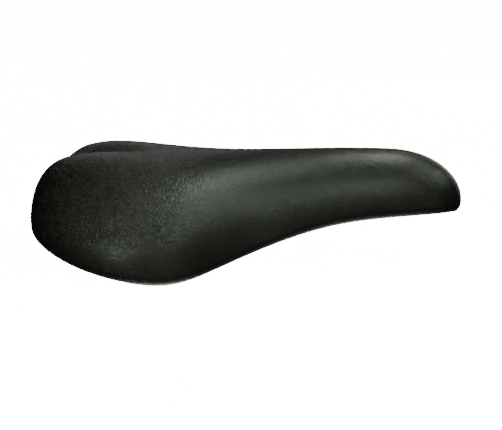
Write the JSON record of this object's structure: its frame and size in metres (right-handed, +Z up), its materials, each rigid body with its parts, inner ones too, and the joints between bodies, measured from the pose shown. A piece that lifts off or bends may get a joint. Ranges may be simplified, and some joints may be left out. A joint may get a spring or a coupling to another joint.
{
  "type": "bicycle saddle",
  "caption": "Padded one-piece vinyl saddle with two rear lobes and a deep skirt, on a moulded base with a steel rail.",
  "frame": {"origin": "midway between the two straight lengths of rail that a seatpost clamps, at the height of their axes", "axes": "+X towards the nose, +Y towards the rider's left, +Z up"},
  "size_m": [0.27, 0.1578, 0.0692],
  "materials": {
    "vinyl": "black moulded vinyl with a fine leather grain and a soft sheen",
    "foam": "open-cell polyurethane foam, matt",
    "base": "black injection-moulded polypropylene, satin with a fine texture",
    "nylon": "black glass-filled nylon",
    "rail": "black powder coat on steel bar, worn where it is clamped",
    "zinc": "bright zinc plate"
  },
  "bodies": {
    "root": {"base_shell": "base", "cover": "vinyl", "foam_pad": "foam", "nose_clamp": "nylon", "rail": "rail", "rear_clamp_left": "nylon", "rear_clamp_right": "nylon", "screw_left_inner": "zinc", "screw_left_outer": "zinc", "screw_nose_front": "zinc", "screw_nose_rear": "zinc", "screw_right_inner": "zinc", "screw_right_outer": "zinc", "staple_left_01": "zinc", "staple_left_02": "zinc", "staple_left_03": "zinc", "staple_left_04": "zinc", "staple_left_05": "zinc", "staple_left_06": "zinc", "staple_left_07": "zinc", "staple_left_08": "zinc", "staple_left_09": "zinc", "staple_left_10": "zinc", "staple_left_11": "zinc", "staple_left_12": "zinc", "staple_left_13": "zinc", "staple_left_14": "zinc", "staple_left_15": "zinc", "staple_left_16": "zinc", "staple_nose": "zinc", "staple_rear": "zinc", "staple_right_01": "zinc", "staple_right_02": "zinc", "staple_right_03": "zinc", "staple_right_04": "zinc", "staple_right_05": "zinc", "staple_right_06": "zinc", "staple_right_07": "zinc", "staple_right_08": "zinc", "staple_right_09": "zinc", "staple_right_10": "zinc", "staple_right_11": "zinc", "staple_right_12": "zinc", "staple_right_13": "zinc", "staple_right_14": "zinc", "staple_right_15": "zinc", "staple_right_16": "zinc", "washer_left_inner": "zinc", "washer_left_outer": "zinc", "washer_nose_front": "zinc", "washer_nose_rear": "zinc", "washer_right_inner": "zinc", "washer_right_outer": "zinc"}
  },
  "joints": []
}
